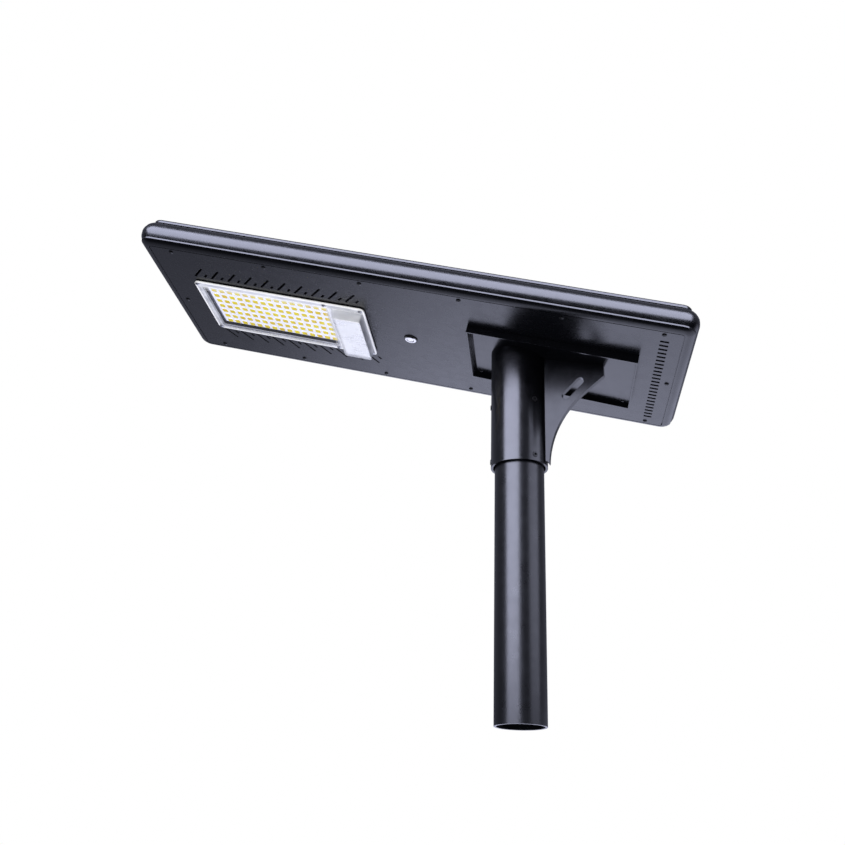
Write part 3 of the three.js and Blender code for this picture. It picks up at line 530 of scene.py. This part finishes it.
def cut_mesh(name, base, cutter):
    """Base mesh with the cutter taken away."""
    base_object = bpy.data.objects.new("base", base)
    cutter_object = bpy.data.objects.new("cutter", cutter)
    for obj in (base_object, cutter_object):
        bpy.context.scene.collection.objects.link(obj)
    modifier = base_object.modifiers.new("cut", "BOOLEAN")
    modifier.operation = "DIFFERENCE"
    modifier.solver = "MANIFOLD"
    modifier.object = cutter_object
    bpy.context.view_layer.update()
    evaluated = base_object.evaluated_get(bpy.context.evaluated_depsgraph_get())
    mesh = bpy.data.meshes.new_from_object(evaluated)
    mesh.name = name
    if not mesh.polygons:
        raise ValueError(f"cutting {name} left no faces")
    for obj in (base_object, cutter_object):
        bpy.data.objects.remove(obj)
    mesh.shade_smooth()
    mesh.set_sharp_from_angle(angle=math.radians(SHARP_EDGE))
    return mesh


def fastener(name, node, shape, body, slot):
    """Detailed screw in place of a CAD one, turned about its axis by its own place."""
    box_low, box_high = head_box(node)
    centre = (box_low + box_high) / 2
    spin = Matrix.Rotation(97.0 * (centre.x + 3.1 * centre.y), 4, "Z")
    seat = Matrix.Translation(Vector((centre.x, centre.y, box_low.z)))
    mesh = shape.copy()
    mesh.transform(HEAD @ seat @ spin)
    obj = piece(name, mesh, body, slot)
    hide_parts(node)
    return obj


def cross_screw(name, head_radius, head_height, shank_radius, length):
    """Pan-head screw pointing up, head down, with a cross recess and a rounded crown."""
    bm = bmesh.new()
    crown = [(0, 0)]
    for i in range(1, 6):
        angle = math.radians(15 * i)
        bulge = head_height * 0.62 * (1 - math.cos(angle))
        crown.append((head_radius * math.sin(angle) * 0.97, bulge))
    profile = crown + [
        (head_radius, head_height * 0.62),
        (head_radius, head_height),
        (shank_radius, head_height),
        (shank_radius, length - shank_radius * 0.4),
        (shank_radius * 0.6, length),
        (0, length),
    ]
    lathe(bm, profile, 28, Matrix.Scale(MM, 4))
    base = mesh_from(name + "_base", bm)
    cutter_bm = bmesh.new()
    arm = head_radius * 1.15
    for quarter in (0, 1):
        turn = Matrix.Scale(MM, 4) @ Matrix.Rotation(quarter * math.pi / 2, 4, "Z")
        size = (arm, head_radius * 0.3, head_height * 1.1)
        brick(cutter_bm, (0, 0, -0.15 * quarter), size, 0.08, turn, 0.7)
    cutter = mesh_from(name + "_cutter", cutter_bm)
    return cut_mesh(name, base, cutter)


def add_screws():
    plate_low, plate_high = head_box("plate_screw_front")
    plate_shape = cross_screw("plate_screw_shape", 3.5, 1.7, 1.9, (plate_high.z - plate_low.z) / MM)
    cover_low, cover_high = head_box("cover_screw_near_1")
    cover_shape = cross_screw("cover_screw_shape", 3.5, 1.7, 1.9, (cover_high.z - cover_low.z) / MM)
    for node in sorted(NODES):
        if node.startswith("plate_screw"):
            fastener(node + "_look", node, plate_shape, "lamp_head", "black_steel")
        if node.startswith("cover_screw"):
            fastener(node + "_look", node, cover_shape, "lamp_head", "zinc")


LED_COLUMNS = 15
LED_ROWS = 7
LED_PITCH = Vector((13.76, 17.1)) * MM
LED_SIZE = Vector((9.2, 9.4)) * MM


def led_places():
    low, high = head_box("led_board")
    centre = (low + high) / 2
    for column in range(LED_COLUMNS):
        for row in range(LED_ROWS):
            x = centre.x + (column - (LED_COLUMNS - 1) / 2) * LED_PITCH.x
            y = centre.y + (row - (LED_ROWS - 1) / 2) * LED_PITCH.y
            yield Vector((x, y, low.z))


def add_leds():
    """One package for each LED: a white ceramic frame and a domed phosphor pad, both below the board."""
    flip = Matrix.Rotation(math.pi, 4, "X")
    frames = bmesh.new()
    pads = bmesh.new()
    for place in led_places():
        at = HEAD @ Matrix.Translation(place) @ flip
        frame_size = (LED_SIZE.x + 1.6 * MM, LED_SIZE.y + 1.6 * MM, 0.7 * MM)
        brick(frames, (0, 0, 0.35 * MM), frame_size, 0.5 * MM, at, 0.96)
        brick(pads, (0, 0, 0.9 * MM), (LED_SIZE.x, LED_SIZE.y, 0.6 * MM), 1.1 * MM, at, 0.9)
    piece("led_frames", mesh_from("led_frames", frames), "lamp_head", "white_board", FRAME_LOOK)
    piece("led_phosphor", mesh_from("led_phosphor", pads), "lamp_head", "white_board", PHOSPHOR_LOOK)


def add_solar_wafers():
    """Chamfered wafers with silver ribbons, on the panel's backing sheet."""
    low, high = head_box("solar_cells")
    columns, rows, margin, gap = 10, 4, 8 * MM, 2.5 * MM
    size_x = (high.x - low.x - 2 * margin + gap) / columns - gap
    size_y = (high.y - low.y - 2 * margin + gap) / rows - gap
    wafers = bmesh.new()
    ribbons = bmesh.new()
    for column in range(columns):
        for row in range(rows):
            x = low.x + margin + size_x / 2 + column * (size_x + gap)
            y = low.y + margin + size_y / 2 + row * (size_y + gap)
            brick(wafers, (x, y, high.z + 0.08 * MM), (size_x, size_y, 0.12 * MM), 5 * MM, HEAD, 1.0)
    for row in range(rows):
        y = low.y + margin + size_y / 2 + row * (size_y + gap)
        for strand in (-1, 0, 1):
            offset = strand * size_y * 0.3
            brick(
                ribbons,
                ((low.x + high.x) / 2, y + offset, high.z + 0.18 * MM),
                (high.x - low.x - 2 * margin, 1.4 * MM, 0.08 * MM),
                0.1 * MM,
                HEAD,
            )
    piece("solar_wafers", mesh_from("solar_wafers", wafers), "lamp_head", "cells", WAFER_LOOK)
    piece("solar_ribbons", mesh_from("solar_ribbons", ribbons), "lamp_head", "cells", LOOKS["aluminium"])


FRAME_LOOK = moulded("look_led_frame", rgb(0.84, 0.85, 0.97), 0.35)
PHOSPHOR_LOOK = phosphor("look_phosphor")
WAFER_LOOK = moulded("look_wafer", rgb(0.008, 0.014, 0.05), 0.18, spread=0.25)

add_screws()
add_leds()
add_solar_wafers()

# ---- Studio ----


def add_floor():
    """Pale floor under the pole, seen only from above, so that it doesn't tint the paint or hide the lamp."""
    graph = Graph("look_floor")
    mottle = graph.noise(3, 3)
    tone = graph.blend(mottle, rgb(0.78, 0.78, 0.79), rgb(0.84, 0.84, 0.85))
    diffuse = graph.node(
        "ShaderNodeBsdfPrincipled",
        {"Base Color": tone, "Roughness": 0.7, "Normal": graph.bump(graph.noise(200, 3), 0.0002)},
    )
    clear = graph.node("ShaderNodeBsdfTransparent")
    facing = graph.node("ShaderNodeNewGeometry")
    mixed = graph.node(
        "ShaderNodeMixShader",
        {0: facing.outputs["Backfacing"], 1: diffuse.outputs[0], 2: clear.outputs[0]},
    )
    graph.finish(mixed.outputs[0])
    bm = bmesh.new()
    reach = 14.0
    corners = [(-reach, -reach), (reach, -reach), (reach, reach), (-reach, reach)]
    bm.faces.new([bm.verts.new((x, y, CAD_BOX[0].z - 0.0005)) for x, y in corners])
    mesh = bpy.data.meshes.new("floor")
    bm.to_mesh(mesh)
    bm.free()
    mesh.materials.append(graph.material)
    floor = bpy.data.objects.new("floor", mesh)
    bpy.context.scene.collection.objects.link(floor)
    floor.visible_glossy = False
    floor.visible_diffuse = False
    floor.visible_shadow = False


def add_softbox(name, centre, target, width, height, radiance, color=(1, 1, 1)):
    """Rectangular softbox whose face shines with the given radiance, and which the camera doesn't see."""
    light = bpy.data.lights.new(name, "AREA")
    light.shape = "RECTANGLE"
    light.size = width
    light.size_y = height
    light.energy = radiance * width * height * math.pi
    light.color = color
    box = bpy.data.objects.new(name, light)
    box.location = centre
    box.rotation_mode = "QUATERNION"
    box.rotation_quaternion = (Vector(target) - Vector(centre)).to_track_quat("-Z", "Y")
    box.visible_camera = False
    bpy.context.scene.collection.objects.link(box)
    return box


def around(azimuth, elevation, distance, centre):
    """Point at an azimuth from -Y towards +X and an elevation, in degrees."""
    a = math.radians(azimuth)
    e = math.radians(elevation)
    offset = Vector((math.sin(a) * math.cos(e), -math.cos(a) * math.cos(e), math.sin(e)))
    return Vector(centre) + offset * distance


def add_world():
    """White to the camera; to the lamp, a dim room, black in front below, lighter behind to the right."""
    world = bpy.data.worlds.new("studio")
    bpy.context.scene.world = world
    world.use_nodes = True
    tree = world.node_tree
    tree.nodes.clear()
    join = tree.links.new
    output = tree.nodes.new("ShaderNodeOutputWorld")
    seen = tree.nodes.new("ShaderNodeBackground")
    seen.inputs["Color"].default_value = rgb(1, 1, 1)
    room = tree.nodes.new("ShaderNodeBackground")
    room.inputs["Color"].default_value = rgb(*COOL)
    direction = tree.nodes.new("ShaderNodeSeparateXYZ")
    join(tree.nodes.new("ShaderNodeTexCoord").outputs["Generated"], direction.inputs[0])

    def ramp(value, low, high, out_low, out_high):
        made = tree.nodes.new("ShaderNodeMapRange")
        made.interpolation_type = "SMOOTHSTEP"
        limits = {"From Min": low, "From Max": high, "To Min": out_low, "To Max": out_high}
        for socket, limit in limits.items():
            made.inputs[socket].default_value = limit
        join(value, made.inputs["Value"])
        return made.outputs["Result"]

    def maths(operation, first, second):
        made = tree.nodes.new("ShaderNodeMath")
        made.operation = operation
        join(first, made.inputs[0])
        join(second, made.inputs[1])
        return made.outputs[0]

    side, back, up = direction.outputs["X"], direction.outputs["Y"], direction.outputs["Z"]
    above = ramp(up, -0.1, 0.3, 0.0, ROOM)
    behind = ramp(back, -0.05, 0.35, 0.0, 1.0)
    rising = ramp(side, -0.43, -0.24, 0.32, 1.9)
    easing = ramp(side, -0.15, 0.2, 1.0, 0.7)
    low_down = ramp(up, 0.0, 0.15, 1.0, 0.0)
    wall = maths("MULTIPLY", maths("MULTIPLY", behind, low_down), maths("MULTIPLY", rising, easing))
    join(maths("MAXIMUM", above, wall), room.inputs["Strength"])
    path = tree.nodes.new("ShaderNodeLightPath")
    mix = tree.nodes.new("ShaderNodeMixShader")
    join(path.outputs["Is Camera Ray"], mix.inputs[0])
    join(room.outputs[0], mix.inputs[1])
    join(seen.outputs[0], mix.inputs[2])
    join(mix.outputs[0], output.inputs["Surface"])


def only_on(light, nodes, in_gloss):
    """Lights only these CAD nodes, either as a reflection or as plain light."""
    lit = bpy.data.collections.new(light.name + "_lit")
    for name in nodes:
        lit.objects.link(NODES[name])
    light.light_linking.receiver_collection = lit
    light.visible_diffuse = not in_gloss
    light.visible_glossy = in_gloss


def add_lights():
    """Softboxes round the lamp: one for the edge, two for the tubes, one for the bracket, one for whites."""
    centre = Vector((POLE_X - 0.1, 0, 0.5))
    edge_centre = Vector((POLE_X - 0.2, -0.18, 0.62))
    edge = add_softbox("edge_box", around(0, 30, 1.7, edge_centre), edge_centre, 5.0, 2.2, 11.9, COOL)
    only_on(edge, ["bottom_frame", "top_frame", "panel_rim"], True)
    tubes = ["pole", "sleeve_tube"] + [name for name in NODES if name.startswith("set_screw")]
    left = add_softbox("left_box", around(-29, 22, 2.6, centre), centre, 2.9, 2.2, 12.0, COOL)
    only_on(left, tubes, True)
    right = add_softbox("right_box", around(68, 20, 2.8, centre), centre, 2.3, 2.2, 3.1, COOL)
    only_on(right, tubes, True)
    bracket = add_softbox("bracket_box", around(-33, 22, 2.6, centre), centre, 2.6, 2.2, 6.0, COOL)
    only_on(bracket, ["gusset", "mounting_tray"], True)
    top = add_softbox("over_box", (POLE_X - 0.1, 0, 2.4), (POLE_X - 0.1, 0.001, 0), 3.0, 2.0, 1.6, COOL)
    top.visible_glossy = False
    fill = add_softbox("fill_box", around(-15, -42, 2.4, centre), centre, 2.4, 2.0, 6.2)
    fill.visible_glossy = False


COOL = (0.74, 0.77, 1.0)
ROOM = 0.3

add_floor()
add_world()
add_lights()

# ---- Camera ----


CAMERA_YAW = -6.68  # degrees from +Y towards +X
CAMERA_PITCH = 23.13
CAMERA_ROLL = 1.96
CAMERA_LENS = 44.76


def add_camera():
    """Low in front of the lamp, looking up at the underside, a little to the light's side."""
    yaw = math.radians(CAMERA_YAW)
    pitch = math.radians(CAMERA_PITCH)
    roll = math.radians(CAMERA_ROLL)
    forward = Vector((math.sin(yaw) * math.cos(pitch), math.cos(yaw) * math.cos(pitch), math.sin(pitch)))
    right = Vector((math.cos(yaw), -math.sin(yaw), 0))
    up = right.cross(forward)
    right, up = (
        right * math.cos(roll) + up * math.sin(roll),
        up * math.cos(roll) - right * math.sin(roll),
    )
    camera = bpy.data.cameras.new("camera")
    camera.lens = CAMERA_LENS
    camera.sensor_width = 36
    camera.clip_start = 0.02
    obj = bpy.data.objects.new("camera", camera)
    obj.rotation_mode = "QUATERNION"
    obj.rotation_quaternion = Matrix((right, up, -forward)).transposed().to_quaternion()
    obj.location = Vector((POLE_X + 0.0256, -1.522, -0.1897))
    bpy.context.scene.collection.objects.link(obj)
    bpy.context.scene.camera = obj


add_camera()
bpy.context.scene.view_settings.view_transform = "Standard"
